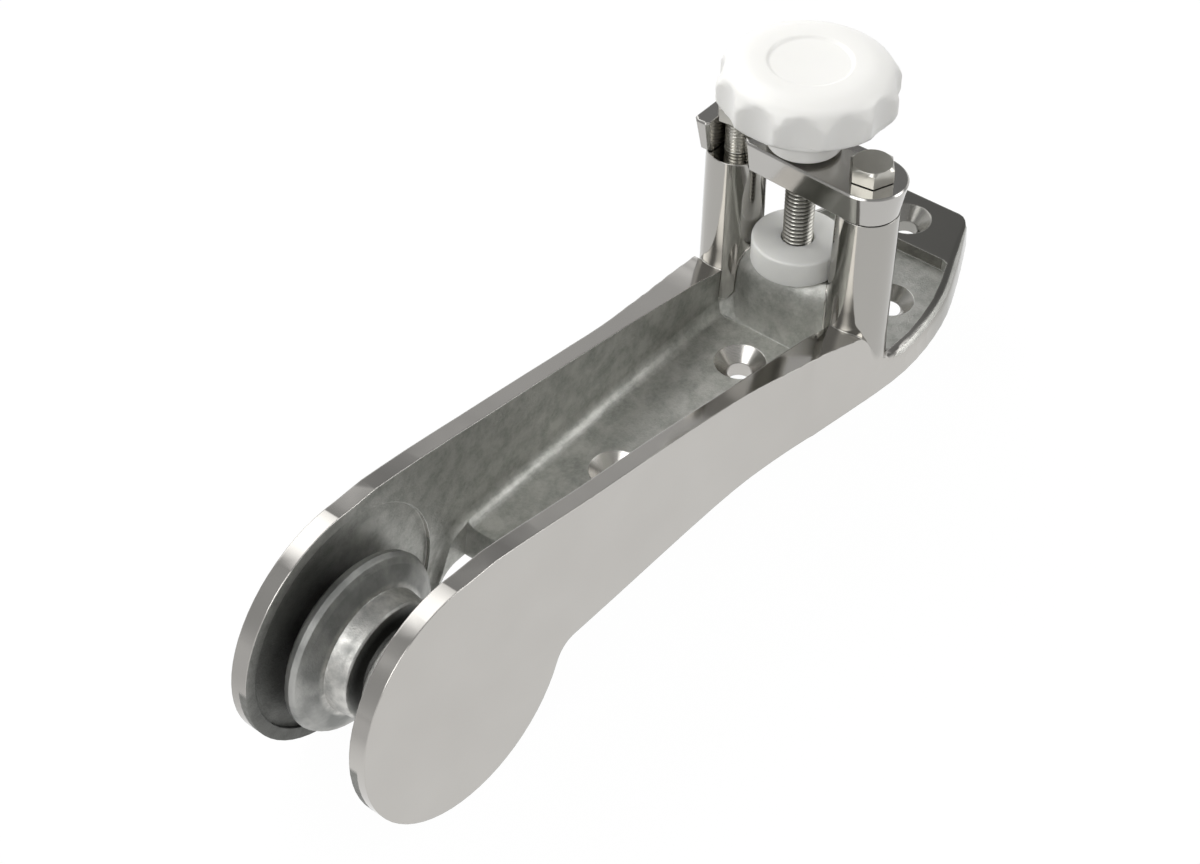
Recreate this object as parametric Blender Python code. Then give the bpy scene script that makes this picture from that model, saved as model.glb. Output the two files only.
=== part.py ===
"""Bow roller with a chain clamp: +X to the bow, +Y to port, +Z up, z = 0 on the flat underside."""

import math

import bmesh
import bpy
from mathutils import Matrix, Vector

MM = 0.001
GAP = 0.0003


def in_metres(points):
    return [(first * MM, second * MM) for first, second in points]


# Base plate and channel
BASE_REAR_X = -84 * MM
BASE_HALF_WIDTH = in_metres([
    (-84, 17.0),
    (-61, 27.6),
    (-38, 35.9),
    (-11, 39.1),
    (20, 35.6),
    (52, 30.4),
    (80, 28.3),
    (143, 27.9),
    (193.5, 26.9),
    (237, 26.1),
])
REAR_CORNER = in_metres([(0.0, -3.2), (0.5, -1.4), (1.8, 0.2), (3.5, 1.6)])
PLATE_TOP_Z = 8.8 * MM
FLOOR_Z = 9.3 * MM
WALL_LEAN = 0.037
LEAN_ALONG = [
    (-84 * MM, 0.08),
    (-12 * MM, 0.14),
    (10 * MM, 0.135),
    (25 * MM, 0.114),
    (41 * MM, 0.072),
    (50 * MM, 0.052),
    (63 * MM, 0.045),
    (80 * MM, WALL_LEAN),
]
PLAN_LEVELS = [-35 * MM, 12 * MM, 60 * MM]
WALL = 5.75 * MM
CHANNEL_HALF_WIDTH = 22.8 * MM
CHANNEL_FILLET = 5 * MM
CHANNEL_TOP_Z = 75 * MM
CHANNEL_LOW_Z = -45 * MM
LAND_HALF_WIDTH = 9.5 * MM
LAND_SLOPE_WIDTH = 1.5 * MM
LAND_HEIGHT = 0.35 * MM

# Rounded edge of the rear plate: radius along the casting
SHOULDER = in_metres([(-84, 0.8), (-76, 2.0), (-62, 3.4), (-12, 3.6), (-3, 2.4), (5, 0.3)])

# Notch ahead of the floor, between two webs that run down the cheeks
BASE_FRONT_X = 144.2 * MM
FRONT_SLOPE = 0.344
FLOOR_FRONT_X = BASE_FRONT_X - FRONT_SLOPE * FLOOR_Z
NOTCH_HALF_WIDTH = 18.8 * MM
NOTCH_DRAFT = 0.108
NOTCH_FRONT_X = 163 * MM
WEB_TOP = in_metres([(147, 7.7), (149.7, 6.0), (152.9, 1.8), (156, -3.2), (158.3, -10), (160, -20)])

# Rear pocket
POCKET_REAR_X = -58 * MM
POCKET_FLOOR_Z = 4.3 * MM
POCKET_BORDER = 4.2 * MM

# Lobed cheeks
LOBE_X = 193.5 * MM
LOBE_Z = 12.8 * MM
LOBE_R = 41.3 * MM
LOBE_BAND = 4 * MM
LOBE_DISH = 1.5 * MM
LOBE_NECK_R = 9 * MM
WALL_TOP = in_metres([
    (-12, 8.8),
    (-6, 9.2),
    (0, 11.5),
    (4, 15.5),
    (7, 21.3),
    (10, 24.8),
    (14, 25.8),
    (25, 28.6),
    (41, 31.5),
    (63, 35.4),
    (105, 42.5),
    (135, 47.1),
    (160, 51.3),
    (178, 53.8),
])

# Posts, anvil and their fasteners
POST_Y = 25.4 * MM
POST_R = 10.1 * MM
POST_LOW_R = 10.4 * MM
POST_LOW_SHIFT = 1 * MM
POST_LOW_Z = 20 * MM
POST_FOOT_R = 11.6 * MM
POST_FOOT_SHIFT = 2 * MM
POST_FOOT_Z = FLOOR_Z + 0.5 * MM
POST_TOP_Z = 68 * MM
ANVIL_PROFILE = in_metres([
    (1, 13.6),
    (9.8, 13.6),
    (12, 13.0),
    (17, 12.5),
    (25, 12.0),
    (30, 11.1),
    (33, 9.4),
    (34.3, 7.2),
])
ANVIL_SETBACK = in_metres([(7, 0), (9, 0.2), (11, 0.9), (13, 1.9), (15, 3), (16.8, 3.7), (18.4, 3.8), (24, 2.6)])
ANVIL_HOLLOW_Z = 17 * MM
ANVIL_TOP_Z = ANVIL_PROFILE[-1][0]
BOLT_R = 4 * MM
BOLT_END_Z = 40 * MM
BOLT_HEAD_ACROSS_FLATS = 13 * MM
BOLT_HEAD_HEIGHT = 5.3 * MM

# Mounting holes
SCREW_HOLES = [
    (29 * MM, 0.0, FLOOR_Z + LAND_HEIGHT),
    (94 * MM, 0.0, FLOOR_Z + LAND_HEIGHT),
    (-69.5 * MM, 0.0, PLATE_TOP_Z),
    (-33.5 * MM, 17 * MM, POCKET_FLOOR_Z),
    (-33.5 * MM, -17 * MM, POCKET_FLOOR_Z),
]
HOLE_R = 4.25 * MM
SINK_R = 8.6 * MM

# Bridge
BRIDGE_UNDERSIDE_Z = POST_TOP_Z + GAP
BRIDGE_THICKNESS = 12 * MM
BRIDGE_TOP_Z = BRIDGE_UNDERSIDE_Z + BRIDGE_THICKNESS
BRIDGE_PORT_R = 12 * MM
BRIDGE_PORT_X = 0.5 * MM
BRIDGE_STARBOARD_HALF_WIDTH = 10.4 * MM
BRIDGE_SIDE_TAPER = 1.8 * MM
BRIDGE_STARBOARD_Y = -36 * MM
SLOT_HALF_WIDTH = 4.7 * MM
SLOT_MOUTH_PORT_Y = -16 * MM

# Spindle, pad and knob
SPINDLE_R = 5 * MM
PAD_R = 15 * MM
PAD_HEIGHT = 9.5 * MM
PAD_SOCKET_DEPTH = 6.5 * MM
RING_HEIGHT = 1.2 * MM
RING_GROOVE_R = 4 * MM
RING_OUTER_R = 6.3 * MM
KNOB_R = 28.8 * MM
KNOB_HUB_R = 12 * MM
KNOB_TOP_R = 22 * MM
KNOB_LIFT = 1.4 * MM
KNOB_HEIGHT = 30.4 * MM
KNOB_RIM_LOW = 17 * MM
KNOB_RIM_HIGH = 23.6 * MM
FLUTES = 12
FLUTE_CUTTER_R = 16 * MM
FLUTE_DEPTH = 2.2 * MM
INSERT_R = 8 * MM
INSERT_LENGTH = 15 * MM

# Roller
ROLLER_X = 194 * MM
ROLLER_Z = 6.1 * MM
AXLE_R = 6 * MM
AXLE_HEAD_R = 9.6 * MM
AXLE_HEAD_HEIGHT = 3.6 * MM
AXLE_SKIN = 3 * MM
BOSS_PROUD = 0.3 * MM
BUSH_WALL = 2 * MM
HUB_PLAY = 0.68 * MM
WASHER_R = 12 * MM
WASHER_THICKNESS = 1.2 * MM
RIM_R = 29.6 * MM
RIM_WIDTH = 5 * MM
STEP_R = 21.3 * MM
STEP_Y = 10.3 * MM
BAND_R = 20.4 * MM
GROOVE_HALF_WIDTH = 3.2 * MM
GROOVE_EDGE_R = 19.5 * MM
GROOVE_BOTTOM_R = 12.2 * MM


def clear_scene():
    for obj in list(bpy.data.objects):
        bpy.data.objects.remove(obj, do_unlink=True)


def material(name, colour, roughness, metallic):
    made = bpy.data.materials.new(name)
    made.use_nodes = True
    shader = made.node_tree.nodes["Principled BSDF"]
    shader.inputs["Base Color"].default_value = (*colour, 1.0)
    shader.inputs["Roughness"].default_value = roughness
    shader.inputs["Metallic"].default_value = metallic
    return made


def mesh_object(name, points, faces, made=None, at=(0.0, 0.0, 0.0)):
    """An object with its origin at one point; the points are given in world metres."""
    mesh = bpy.data.meshes.new(name)
    mesh.from_pydata([tuple(Vector(p) - Vector(at)) for p in points], [], faces)
    work = bmesh.new()
    work.from_mesh(mesh)
    bmesh.ops.remove_doubles(work, verts=work.verts, dist=1e-7)
    bmesh.ops.recalc_face_normals(work, faces=work.faces)
    work.to_mesh(mesh)
    work.free()
    mesh.shade_smooth()
    mesh.set_sharp_from_angle(angle=math.radians(32))
    obj = bpy.data.objects.new(name, mesh)
    obj.location = at
    bpy.context.scene.collection.objects.link(obj)
    if made:
        mesh.materials.append(made)
    return obj


def join_rings(rings, closed=True):
    """Points and faces of a solid whose sections are rings of equal count."""
    count = len(rings[0])
    points = [p for ring in rings for p in ring]
    faces = []
    for low in range(len(rings) - 1):
        for k in range(count):
            after = (k + 1) % count
            a, b = low * count, (low + 1) * count
            faces.append((a + k, a + after, b + after, b + k))
    if closed:
        faces.append(tuple(range(count)))
        last = (len(rings) - 1) * count
        faces.append(tuple(last + k for k in range(count)))
    return points, faces


def turned(profile, centre, axis="Z", segments=48):
    """A solid of revolution; the profile is a closed loop of (radius, height) along the axis."""
    points, faces = [], []
    index = []
    for radius, height in profile:
        ring = []
        steps = 1 if radius < 1e-9 else segments
        for k in range(steps):
            angle = 2 * math.pi * k / segments
            u, v = radius * math.cos(angle), radius * math.sin(angle)
            local = (u, v, height) if axis == "Z" else (u, height, -v)
            ring.append(len(points))
            points.append(Vector(centre) + Vector(local))
        index.append(ring)
    for k in range(len(index)):
        one, two = index[k], index[(k + 1) % len(index)]
        for s in range(segments):
            t = (s + 1) % segments
            quad = [one[s % len(one)], one[t % len(one)], two[t % len(two)], two[s % len(two)]]
            quad = list(dict.fromkeys(quad))
            if len(quad) > 2:
                faces.append(tuple(quad))
    return points, faces


def arc(centre, radius, start, end, count):
    """Points of an arc in a plane, angles in degrees."""
    found = []
    for k in range(count + 1):
        angle = math.radians(start + (end - start) * k / count)
        found.append((centre[0] + radius * math.cos(angle), centre[1] + radius * math.sin(angle)))
    return found


def smooth_curve(points, per_span):
    """Catmull-Rom curve through points."""
    found = []
    padded = [points[0]] + points + [points[-1]]
    for k in range(1, len(padded) - 2):
        p0, p1, p2, p3 = (Vector(p) for p in padded[k - 1 : k + 3])
        for step in range(per_span):
            t = step / per_span
            square = 2 * p0 - 5 * p1 + 4 * p2 - p3
            cube = 3 * p1 - p0 - 3 * p2 + p3
            value = 0.5 * (2 * p1 + (p2 - p0) * t + square * t**2 + cube * t**3)
            found.append((value[0], value[1]))
    found.append(points[-1])
    return found


def read_off(curve, x):
    """The value of a curve of (x, value) points at x, level beyond both ends."""
    x = min(max(x, curve[0][0]), curve[-1][0])
    low = curve[0]
    for high in curve[1:]:
        if x <= high[0]:
            break
        low = high
    share = (x - low[0]) / (high[0] - low[0])
    return low[1] + (high[1] - low[1]) * share


PLAN_CURVE = smooth_curve(BASE_HALF_WIDTH, 4)
WALL_TOP_CURVE = smooth_curve(WALL_TOP, 2)


def half_width(x, z):
    """Half width over the outer faces at one place along the casting and one height."""
    return read_off(PLAN_CURVE, x) - read_off(LEAN_ALONG, x) * z


def boolean(target, operation, tool, solver="EXACT"):
    tool.hide_render = True
    tool.display_type = "WIRE"
    cut = target.modifiers.new(f"{operation.lower()} {tool.name}", "BOOLEAN")
    cut.operation = operation
    cut.solver = solver
    cut.object = tool


def settle(target):
    """Replace the modifiers by their result and mark its sharp edges; the tools are removed."""
    bpy.context.view_layer.update()
    found = target.evaluated_get(bpy.context.evaluated_depsgraph_get())
    mesh = bpy.data.meshes.new_from_object(found)
    tools = [step.object for step in target.modifiers]
    target.modifiers.clear()
    target.data = mesh
    mesh.shade_smooth()
    mesh.set_sharp_from_angle(angle=math.radians(32))
    for tool in tools:
        bpy.data.objects.remove(tool, do_unlink=True)
    return target


def plan_prism(name, made):
    """The casting's plan outline, leaning inwards as it rises."""
    rings = []
    for z in PLAN_LEVELS:
        rear, edge = BASE_REAR_X + LEAN_ALONG[0][1] * z, half_width(BASE_REAR_X, z)
        port = [(rear + x, edge + y) for x, y in REAR_CORNER]
        port += [(x, half_width(x, z)) for x, _ in PLAN_CURVE[1:]]
        starboard = [(x, -y) for x, y in reversed(port)]
        rings.append([(x, y, z) for x, y in port + starboard])
    points, faces = join_rings(rings)
    return mesh_object(name, points, faces, made)


def side_outline():
    """Outline of base, wall top and cheek lobe seen from the side, in metres."""
    reach = LOBE_R + LOBE_NECK_R
    neck = (LOBE_X - math.sqrt(reach**2 - (LOBE_Z + LOBE_NECK_R) ** 2), -LOBE_NECK_R)
    touch = math.degrees(math.atan2(LOBE_Z - neck[1], LOBE_X - neck[0]))
    outline = [(BASE_REAR_X - 5 * MM, 0.0), (20 * MM, 0.0)]
    outline += arc(neck, LOBE_NECK_R, 90, touch, 6)
    outline += arc((LOBE_X, LOBE_Z), LOBE_R, touch - 180, 96, 44)[1:]
    outline += list(reversed(WALL_TOP_CURVE))
    outline.append((BASE_REAR_X - 5 * MM, PLATE_TOP_Z))
    return outline


def side_prism(name, outline, half=60 * MM):
    rings = [[(x, y, z) for x, z in outline] for y in (-half, half)]
    points, faces = join_rings(rings)
    return mesh_object(name, points, faces)


def inner_half_width(x, z):
    """Half width between the walls: parallel to the cheeks, narrower than the flare at the posts."""
    return min(half_width(x, z) - WALL, CHANNEL_HALF_WIDTH - WALL_LEAN * z)


def channel_section(x, floor, top):
    """One section of the space between the walls, with filleted bottom corners."""
    low = inner_half_width(x, floor + CHANNEL_FILLET)
    centre = (low - CHANNEL_FILLET, floor + CHANNEL_FILLET)
    port = [(inner_half_width(x, top), top)]
    port += arc(centre, CHANNEL_FILLET, 0, -90, 5)
    port += [(LAND_HALF_WIDTH + LAND_SLOPE_WIDTH, floor), (LAND_HALF_WIDTH, floor + LAND_HEIGHT)]
    starboard = [(-y, z) for y, z in reversed(port)]
    return [(x, y, z) for y, z in port + starboard]


def channel_cutter():
    """The channel above the floor and the webs, and the space for the roller beyond them."""
    stations = [(x * MM, FLOOR_Z) for x in (0, 55, 65, 80, 110)]
    stations.append((FLOOR_FRONT_X, FLOOR_Z))
    stations += WEB_TOP
    stations.append((WEB_TOP[-1][0] + 0.1 * MM, CHANNEL_LOW_Z))
    stations += [(LOBE_X + x * MM, CHANNEL_LOW_Z) for x in (-15, 0, 20, 46)]
    rings = [channel_section(x, floor, CHANNEL_TOP_Z) for x, floor in stations]
    points, faces = join_rings(rings)
    return mesh_object("channel_cutter", points, faces)


def notch_cutter():
    """The notch in front of the floor: a sloping rear face, and sides that open upwards."""
    rings = []
    for z in (CHANNEL_LOW_Z, -0.2 * MM, FLOOR_Z + 3 * MM):
        rear = BASE_FRONT_X - FRONT_SLOPE * max(z, -0.2 * MM)
        half = NOTCH_HALF_WIDTH + NOTCH_DRAFT * max(z, 0.0)
        rings.append([(rear, -half, z), (NOTCH_FRONT_X, -half, z), (NOTCH_FRONT_X, half, z), (rear, half, z)])
    points, faces = join_rings(rings)
    return mesh_object("notch_cutter", points, faces)


def shoulder_section(x, side):
    """What the rounded edge takes off one side, seen along the casting."""
    radius = read_off(SHOULDER, x)
    top = max(PLATE_TOP_Z, read_off(WALL_TOP_CURVE, x))
    low = top - radius
    section = [(half_width(x, z) + y, z) for y, z in arc((-radius, low), radius, 90, 0, 3)]
    away = half_width(x, low) + 4 * MM
    section += [(away, low), (away, top + 4 * MM), (section[0][0], top + 4 * MM)]
    return [(x, side * y, z) for y, z in section]


def shoulder_cutters():
    """Round the top edge of the rear plate along both sides."""
    xs = [x for x, _ in PLAN_CURVE if SHOULDER[0][0] < x < SHOULDER[-1][0]]
    xs = [SHOULDER[0][0] - 1 * MM] + xs + [SHOULDER[-1][0]]
    parts = [join_rings([shoulder_section(x, side) for x in xs]) for side in (1, -1)]
    return merged("shoulder_cutters", parts)


def leaning_disc(radius, inset_low, inset_high, side, segments=48, centre=(LOBE_X, LOBE_Z)):
    """A disc in the side view whose two faces lie at insets from the cheek's outer face."""
    rings = []
    for inset in (inset_low, inset_high):
        ring = []
        for x, z in arc(centre, radius, 0, 360, segments)[:-1]:
            ring.append((x, side * (half_width(x, z) - inset), z))
        rings.append(ring)
    return join_rings(rings)


def merged(name, parts):
    """One mesh from several (points, faces) pairs."""
    points, faces = [], []
    for more, loops in parts:
        start = len(points)
        points += list(more)
        faces += [tuple(start + k for k in loop) for loop in loops]
    return mesh_object(name, points, faces)


def pocket_cutter():
    """The recess behind the posts, inside a raised border."""
    front = -1.5 * MM
    xs = [POCKET_REAR_X + 4 * MM, -48 * MM, -38 * MM, -28 * MM, -19 * MM, front]
    rings = []
    for z, grow in ((POCKET_FLOOR_Z, 0.0), (PLATE_TOP_Z + 20 * MM, 1.5 * MM)):
        port = [(x, half_width(x, 0.0) - POCKET_BORDER - 0.8 * MM + grow) for x in xs]
        rear = POCKET_REAR_X - grow * 0.3
        corner = [(rear, port[0][1] - 3.5 * MM), (rear + 0.8 * MM, port[0][1] - 1.2 * MM)]
        port = corner + port
        ring = port + [(x, -y) for x, y in reversed(port)]
        rings.append([(x, y, z) for x, y in ring])
    points, faces = join_rings(rings)
    return mesh_object("pocket_cutter", points, faces)


def post(side):
    """A slightly tapered post whose foot spreads towards the bow, overlapping the walls and the anvil."""
    levels = [(0.5 * MM, POST_FOOT_R, POST_FOOT_SHIFT)]
    for k in range(4):
        angle = math.pi / 2 * k / 3
        share = 1 - math.sin(angle)
        height = POST_FOOT_Z + (POST_LOW_Z - POST_FOOT_Z) * (1 - math.cos(angle))
        radius = POST_LOW_R + (POST_FOOT_R - POST_LOW_R) * share
        levels.append((height, radius, POST_LOW_SHIFT + (POST_FOOT_SHIFT - POST_LOW_SHIFT) * share))
    levels.append((POST_TOP_Z, POST_R, 0.0))
    rings = []
    for z, radius, shift in levels:
        rings.append([(x, y, z) for x, y in arc((shift, side * POST_Y), radius, 0, 360, 40)[:-1]])
    return join_rings(rings)


def anvil():
    """The block between the posts that the chain is clamped against, with a rounded crest.

    Its front is straight along the floor and hollows out towards the posts as it rises.
    """
    rings = []
    for z, reach in ANVIL_PROFILE:
        hollow = min(max((z - POST_FOOT_Z) / (ANVIL_HOLLOW_Z - POST_FOOT_Z), 0.0), 1.0) ** 0.6
        front = [(reach - setback * hollow, y) for y, setback in ANVIL_SETBACK]
        rear = [(setback - reach, y) for y, setback in ANVIL_SETBACK[::2]]
        port = front + rear[::-1]
        rings.append([(x, y, z) for x, y in port] + [(x, -y, z) for x, y in reversed(port)])
    return join_rings(rings)


def hole_cutters():
    """Countersunk mounting holes."""
    parts = []
    for x, y, top in SCREW_HOLES:
        low, seat, high = -2 * MM, top - (SINK_R - HOLE_R), top + 6 * MM
        profile = [(0.0, low), (HOLE_R, low), (HOLE_R, seat), (SINK_R, top), (SINK_R, high), (0.0, high)]
        parts.append(turned(profile, (x, y, 0.0), segments=32))
    return merged("hole_cutters", parts)


def bore_cutters():
    """Blind bores in the posts for the two bolts, and the axle's bore across the cheeks."""
    parts = []
    bore, high = BOLT_R + GAP, POST_TOP_Z + 2 * MM
    for side in (1, -1):
        profile = [(0.0, BOLT_END_Z - 2 * MM), (bore, BOLT_END_Z), (bore, high), (0.0, high)]
        parts.append(turned(profile, (0.0, side * POST_Y, 0.0), segments=24))
    face = half_width(ROLLER_X, ROLLER_Z)
    end = face - AXLE_SKIN
    head = face - AXLE_HEAD_HEIGHT
    profile = [
        (0.0, -face - 2 * MM),
        (AXLE_HEAD_R + GAP, -face - 2 * MM),
        (AXLE_HEAD_R + GAP, -face + 0.3 * MM),
        (AXLE_R + GAP, -head),
        (AXLE_R + GAP, end),
        (0.0, end),
    ]
    parts.append(turned(profile, (ROLLER_X, 0.0, ROLLER_Z), axis="Y", segments=48))
    return merged("bore_cutters", parts)


def frame_casting(made):
    body = plan_prism("frame_casting", made)
    boolean(body, "INTERSECT", side_prism("side_outline_tool", side_outline()))
    boolean(body, "DIFFERENCE", shoulder_cutters())
    boolean(body, "DIFFERENCE", channel_cutter())
    boolean(body, "DIFFERENCE", notch_cutter())
    dishes = []
    for side in (1, -1):
        dishes.append(leaning_disc(LOBE_R - LOBE_BAND, WALL - LOBE_DISH, WALL + 2 * MM, side))
    boolean(body, "DIFFERENCE", merged("lobe_dish_cutters", dishes))
    boolean(body, "DIFFERENCE", pocket_cutter())
    boolean(body, "UNION", merged("anvil_tool", [anvil()]))
    boolean(body, "UNION", merged("post_tools", [post(1), post(-1)]))
    bosses = []
    root, face = WALL - LOBE_DISH - 1 * MM, WALL + BOSS_PROUD
    for side in (1, -1):
        bosses.append(leaning_disc(WASHER_R + 1 * MM, root, face, side, 32, (ROLLER_X, ROLLER_Z)))
    boolean(body, "UNION", merged("axle_boss_tools", bosses))
    boolean(body, "DIFFERENCE", hole_cutters())
    boolean(body, "DIFFERENCE", bore_cutters())
    return settle(body)


def hub_half_width():
    """Half of the wheel's width: what the two cheek bosses, thrust washers and gaps leave."""
    boss_face = half_width(ROLLER_X, ROLLER_Z + WASHER_R) - WALL - BOSS_PROUD
    return boss_face - WASHER_THICKNESS - GAP - HUB_PLAY


def roller_sheave(made):
    """Two flanges either side of a wide band, with a deep narrow groove for the chain's links."""
    hub = hub_half_width()
    flange_root = hub - RIM_WIDTH
    port = [
        (GROOVE_EDGE_R - 0.5 * MM, GROOVE_HALF_WIDTH - 0.4 * MM),
        (GROOVE_EDGE_R, GROOVE_HALF_WIDTH + 0.2 * MM),
        (BAND_R, STEP_Y - 0.2 * MM),
        (STEP_R, STEP_Y),
        (RIM_R - 2.6 * MM, flange_root - 0.4 * MM),
        (RIM_R - 0.8 * MM, flange_root + 0.6 * MM),
        (RIM_R, flange_root + 2.2 * MM),
        (RIM_R - 0.3 * MM, hub - 1 * MM),
        (RIM_R - 1.4 * MM, hub),
        (RIM_R - 5 * MM, hub),
        (15 * MM, hub - 1.2 * MM),
        (13 * MM, hub),
        (AXLE_R + BUSH_WALL + 2 * GAP, hub),
    ]
    floor = arc((GROOVE_BOTTOM_R + 2.6 * MM, 0.0), 2.6 * MM, 180, 90, 2)
    profile = floor + port
    profile = profile + [(r, -h) for r, h in reversed(profile[1:])]
    points, faces = turned(profile, (ROLLER_X, 0.0, ROLLER_Z), axis="Y", segments=48)
    return mesh_object("roller_sheave", points, faces, made, at=(ROLLER_X, 0.0, ROLLER_Z))


def sleeve(inner, outer, low, high):
    return [(inner, low), (outer, low), (outer, high), (inner, high)]


def roller_bush(made):
    hub = hub_half_width()
    profile = sleeve(AXLE_R + GAP, AXLE_R + BUSH_WALL + GAP, -hub, hub)
    points, faces = turned(profile, (ROLLER_X, 0.0, ROLLER_Z), axis="Y", segments=32)
    return mesh_object("roller_bush", points, faces, made, at=(ROLLER_X, 0.0, ROLLER_Z))


def thrust_washer(name, side, made):
    low = hub_half_width() + GAP
    profile = sleeve(AXLE_R + GAP, WASHER_R, side * low, side * (low + WASHER_THICKNESS))
    points, faces = turned(profile, (ROLLER_X, 0.0, ROLLER_Z), axis="Y", segments=32)
    return mesh_object(name, points, faces, made, at=(ROLLER_X, side * low, ROLLER_Z))


def roller_axle(made):
    face = half_width(ROLLER_X, ROLLER_Z)
    start = -face + 0.4 * MM
    socket_r = 3.4 * MM
    profile = [
        (0.0, start + 2.4 * MM),
        (socket_r, start + 2.4 * MM),
        (socket_r, start),
        (AXLE_HEAD_R - 0.4 * MM, start),
        (AXLE_R, -face + AXLE_HEAD_HEIGHT + 0.2 * MM),
        (AXLE_R, face - AXLE_SKIN - GAP - 0.8 * MM),
        (AXLE_R - 0.8 * MM, face - AXLE_SKIN - GAP),
        (0.0, face - AXLE_SKIN - GAP),
    ]
    points, faces = turned(profile, (ROLLER_X, 0.0, ROLLER_Z), axis="Y", segments=32)
    return mesh_object("roller_axle", points, faces, made, at=(ROLLER_X, 0.0, ROLLER_Z))


def bridge_outline(inset):
    """Plan of the bridge: round port end, square starboard end with a slot open to the bow."""
    half = BRIDGE_STARBOARD_HALF_WIDTH - inset
    radius = BRIDGE_PORT_R - inset
    end = BRIDGE_STARBOARD_Y + inset * 0.5
    slot_port, slot_starboard = SLOT_HALF_WIDTH - POST_Y, -SLOT_HALF_WIDTH - POST_Y
    outline = arc((BRIDGE_PORT_X, POST_Y), radius, 0, 180, 24)
    outline += [(-half, end + 2 * MM), (2 * MM - half, end), (half - 1.5 * MM, end), (half, end + 1.5 * MM)]
    outline += [(half, slot_starboard - 1 * MM), (half - 1 * MM, slot_starboard)]
    outline += arc((0.0, -POST_Y), SLOT_HALF_WIDTH, -90, -270, 12)
    outline += [(2 * MM, slot_port + 0.5 * MM), (half - 2.5 * MM, SLOT_MOUTH_PORT_Y - 1.5 * MM)]
    outline += [(half, SLOT_MOUTH_PORT_Y + 1.5 * MM)]
    return outline


def clamp_bridge(made):
    """The bar across the posts, narrower underneath, bored for its pivot bolt and for the spindle."""
    soft = 0.6 * MM
    levels = [
        (BRIDGE_UNDERSIDE_Z, BRIDGE_SIDE_TAPER + soft),
        (BRIDGE_UNDERSIDE_Z + soft, BRIDGE_SIDE_TAPER),
        (BRIDGE_TOP_Z - soft, 0.0),
        (BRIDGE_TOP_Z, soft),
    ]
    rings = [[(x, y, z) for x, y in bridge_outline(inset)] for z, inset in levels]
    points, faces = join_rings(rings)
    bar = mesh_object("clamp_bridge", points, faces, made, at=(0.0, POST_Y, BRIDGE_UNDERSIDE_Z))
    low, high = BRIDGE_UNDERSIDE_Z - 2 * MM, BRIDGE_TOP_Z + 2 * MM
    holes = []
    for y, radius in ((POST_Y, BOLT_R + GAP), (0.0, SPINDLE_R + GAP)):
        profile = [(0.0, low), (radius, low), (radius, high), (0.0, high)]
        holes.append(turned(profile, (0.0, y, 0.0), segments=32))
    boolean(bar, "DIFFERENCE", merged("bridge_bore_cutters", holes))
    return settle(bar)


def hex_bolt(name, y, turn, made):
    """Hexagon head with a chamfered top, and its shank."""
    base = BRIDGE_TOP_Z + GAP
    flat = BOLT_HEAD_ACROSS_FLATS / 2
    corner = 2 * flat / math.sqrt(3)
    levels = [(0.0, corner), (BOLT_HEAD_HEIGHT - 0.9 * MM, corner), (BOLT_HEAD_HEIGHT, flat * 0.96)]
    rings = []
    for height, limit in levels:
        ring = []
        for k in range(36):
            angle = math.radians(10 * k)
            from_flat = (angle + math.pi / 6) % (math.pi / 3) - math.pi / 6
            reach = min(flat / math.cos(from_flat), limit)
            ring.append((reach * math.cos(angle + turn), y + reach * math.sin(angle + turn), base + height))
        rings.append(ring)
    points, faces = join_rings(rings)
    bolt = mesh_object(name, points, faces, made, at=(0.0, y, base))
    end, inside = BOLT_END_Z + 1 * MM, base + 1 * MM
    shank = [(0.0, end), (BOLT_R - 0.8 * MM, end), (BOLT_R, end + 1 * MM), (BOLT_R, inside), (0.0, inside)]
    boolean(bolt, "UNION", merged(f"{name}_shank_tool", [turned(shank, (0.0, y, 0.0), segments=24)]))
    return settle(bolt)


def spindle_top():
    return BRIDGE_TOP_Z + KNOB_LIFT + GAP + INSERT_LENGTH


def pad_top():
    return ANVIL_TOP_Z + GAP + PAD_HEIGHT


def clamp_screw(made):
    tip = pad_top() - PAD_SOCKET_DEPTH + GAP
    groove = tip + 1.5 * MM
    profile = [
        (0.0, tip),
        (SPINDLE_R - 1 * MM, tip),
        (SPINDLE_R, tip + 1 * MM),
        (SPINDLE_R, groove),
        (RING_GROOVE_R, groove),
        (RING_GROOVE_R, groove + RING_HEIGHT + 2 * GAP),
        (SPINDLE_R, groove + RING_HEIGHT + 2 * GAP),
        (SPINDLE_R, spindle_top() - 0.8 * MM),
        (SPINDLE_R - 0.8 * MM, spindle_top()),
        (0.0, spindle_top()),
    ]
    points, faces = turned(profile, (0.0, 0.0, 0.0), segments=24)
    return mesh_object("clamp_screw", points, faces, made, at=(0.0, 0.0, tip))


def pad_snap_ring(made):
    """A split ring: it sits in the spindle's groove and in the pad's groove."""
    low = pad_top() - PAD_SOCKET_DEPTH + GAP + 1.5 * MM + GAP
    inner, outer = RING_GROOVE_R + GAP, RING_OUTER_R
    rings = []
    for k in range(33):
        angle = math.radians(20 + 320 * k / 32)
        section = sleeve(inner, outer, low, low + RING_HEIGHT)
        rings.append([(radius * math.cos(angle), radius * math.sin(angle), z) for radius, z in section])
    points, faces = join_rings(rings)
    return mesh_object("pad_snap_ring", points, faces, made, at=(0.0, 0.0, low))


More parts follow.
